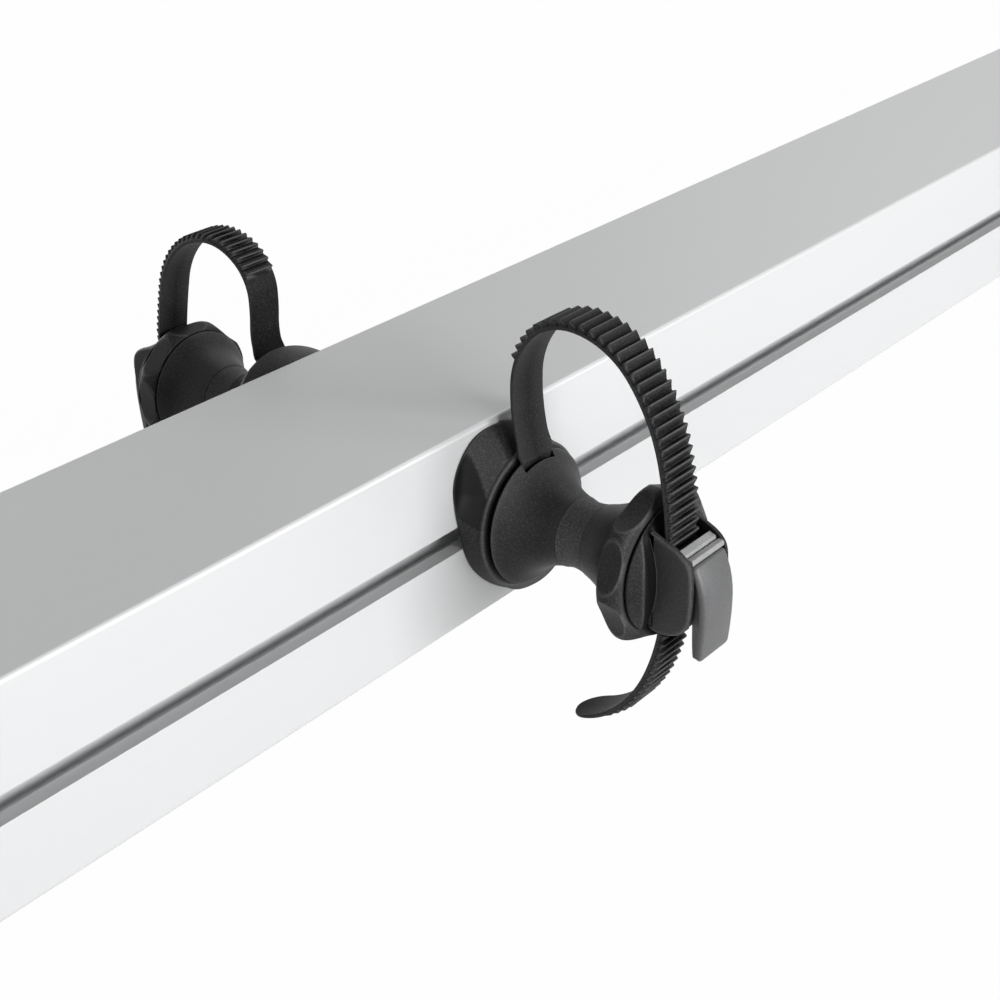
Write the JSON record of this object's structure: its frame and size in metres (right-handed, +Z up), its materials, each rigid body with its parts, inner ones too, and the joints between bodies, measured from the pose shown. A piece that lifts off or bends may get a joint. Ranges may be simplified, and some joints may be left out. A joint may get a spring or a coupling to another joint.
{
  "type": "slide-out bike carrier",
  "caption": "Slide-out bike carrier: an extruded beam on a telescopic floor rail, with clamp-on spool-shaped wheel holders that each carry a toothed strap and a ratchet buckle.",
  "frame": {"origin": "on the floor plane, at the centre of the outer floor bolts, midway between the two floor feet", "axes": "+X along the beam, away from its pull handle; +Y away from the near wheel holder; +Z up"},
  "size_m": [1.3802, 0.387, 0.218],
  "materials": {
    "beam_aluminium": "satin anodised",
    "rail_aluminium": "satin anodised",
    "zinc_steel": "zinc plated",
    "bolt_steel": "zinc plated",
    "black_plastic": "fine moulded grain",
    "glide_plastic": "smooth, waxy",
    "strap_plastic": "soft satin",
    "lever_plastic": "satin",
    "black_paint": "powder coat",
    "sleeve_rubber": "matt"
  },
  "bodies": {
    "floor": {"floor_rail": "rail_aluminium", "front_floor_foot": "zinc_steel", "rear_floor_foot": "zinc_steel", "foot_screws": "bolt_steel", "latch_strike": "zinc_steel"},
    "middle": {"middle_rail": "rail_aluminium", "lower_glides": "glide_plastic", "upper_glides": "glide_plastic"},
    "beam": {"beam": "beam_aluminium", "front_end_cap": "black_plastic", "rear_end_cap": "black_plastic", "front_cap_screws": "bolt_steel", "rear_cap_screws": "bolt_steel", "pull_handle": "black_paint", "handle_screws": "bolt_steel", "latch_bracket": "zinc_steel", "latch_pin": "bolt_steel"},
    "latch": {"latch_lever": "black_paint"},
    "near_holder": {"near_foot": "black_plastic", "near_t_nut": "bolt_steel", "near_clamp_stud": "bolt_steel", "near_inner_cone": "black_plastic", "near_waist_sleeve": "sleeve_rubber", "near_outer_cone": "black_plastic", "near_strap": "strap_plastic", "near_strap_pin": "bolt_steel", "near_buckle_housing": "black_plastic", "near_housing_screw": "bolt_steel", "near_lever_pin": "bolt_steel", "near_hold_pawl_pin": "bolt_steel"},
    "near_knob": {"near_clamp_knob": "black_plastic", "near_knob_insert": "bolt_steel"},
    "near_lever": {"near_buckle_lever": "lever_plastic", "near_drive_pawl_pin": "bolt_steel"},
    "near_drive": {"near_drive_pawl": "lever_plastic"},
    "near_hold": {"near_hold_pawl": "lever_plastic"},
    "far_holder": {"far_foot": "black_plastic", "far_standoff": "black_plastic", "far_t_nut": "bolt_steel", "far_clamp_stud": "bolt_steel", "far_inner_cone": "black_plastic", "far_waist_sleeve": "sleeve_rubber", "far_outer_cone": "black_plastic", "far_strap": "strap_plastic", "far_strap_pin": "bolt_steel", "far_buckle_housing": "black_plastic", "far_housing_screw": "bolt_steel", "far_lever_pin": "bolt_steel", "far_hold_pawl_pin": "bolt_steel"},
    "far_knob": {"far_clamp_knob": "black_plastic", "far_knob_insert": "bolt_steel"},
    "far_lever": {"far_buckle_lever": "lever_plastic", "far_drive_pawl_pin": "bolt_steel"},
    "far_drive": {"far_drive_pawl": "lever_plastic"},
    "far_hold": {"far_hold_pawl": "lever_plastic"}
  },
  "joints": [
    {"name": "middle_rail_slide", "type": "slide", "parent": "floor", "child": "middle", "axis": [-1, 0, 0], "range_m": [0, 0.34]},
    {"name": "beam_slide", "type": "slide", "parent": "middle", "child": "beam", "axis": [-1, 0, 0], "range_m": [0, 0.34]},
    {"name": "latch_turn", "type": "hinge", "parent": "beam", "child": "latch", "pos_m": [-0.676, 0, 0.047], "axis": [0, -1, 0], "range_deg": [-7, 0]},
    {"name": "near_holder_slide", "type": "slide", "parent": "beam", "child": "near_holder", "axis": [1, 0, 0], "range_m": [-0.3, 0.7]},
    {"name": "near_knob_turn", "type": "hinge", "parent": "near_holder", "child": "near_knob", "pos_m": [-0.2, -0.144, 0.1075], "axis": [0, -1, 0], "continuous": true},
    {"name": "near_lever_turn", "type": "hinge", "parent": "near_holder", "child": "near_lever", "pos_m": [-0.2, -0.1716, 0.1145], "axis": [-1, 0, 0], "range_deg": [0, 60]},
    {"name": "near_drive_pawl_turn", "type": "hinge", "parent": "near_lever", "child": "near_drive", "pos_m": [-0.2, -0.1718, 0.1025], "axis": [-1, 0, 0], "range_deg": [0, 15]},
    {"name": "near_hold_pawl_turn", "type": "hinge", "parent": "near_holder", "child": "near_hold", "pos_m": [-0.2, -0.167, 0.108], "axis": [-1, 0, 0], "range_deg": [0, 10]},
    {"name": "far_holder_slide", "type": "slide", "parent": "beam", "child": "far_holder", "axis": [1, 0, 0], "range_m": [-0.3, 0.7]},
    {"name": "far_knob_turn", "type": "hinge", "parent": "far_holder", "child": "far_knob", "pos_m": [-0.2, 0.172, 0.1075], "axis": [0, 1, 0], "continuous": true},
    {"name": "far_lever_turn", "type": "hinge", "parent": "far_holder", "child": "far_lever", "pos_m": [-0.2, 0.1996, 0.1145], "axis": [1, 0, 0], "range_deg": [0, 60]},
    {"name": "far_drive_pawl_turn", "type": "hinge", "parent": "far_lever", "child": "far_drive", "pos_m": [-0.2, 0.1998, 0.1025], "axis": [1, 0, 0], "range_deg": [0, 15]},
    {"name": "far_hold_pawl_turn", "type": "hinge", "parent": "far_holder", "child": "far_hold", "pos_m": [-0.2, 0.195, 0.108], "axis": [1, 0, 0], "range_deg": [0, 10]}
  ]
}
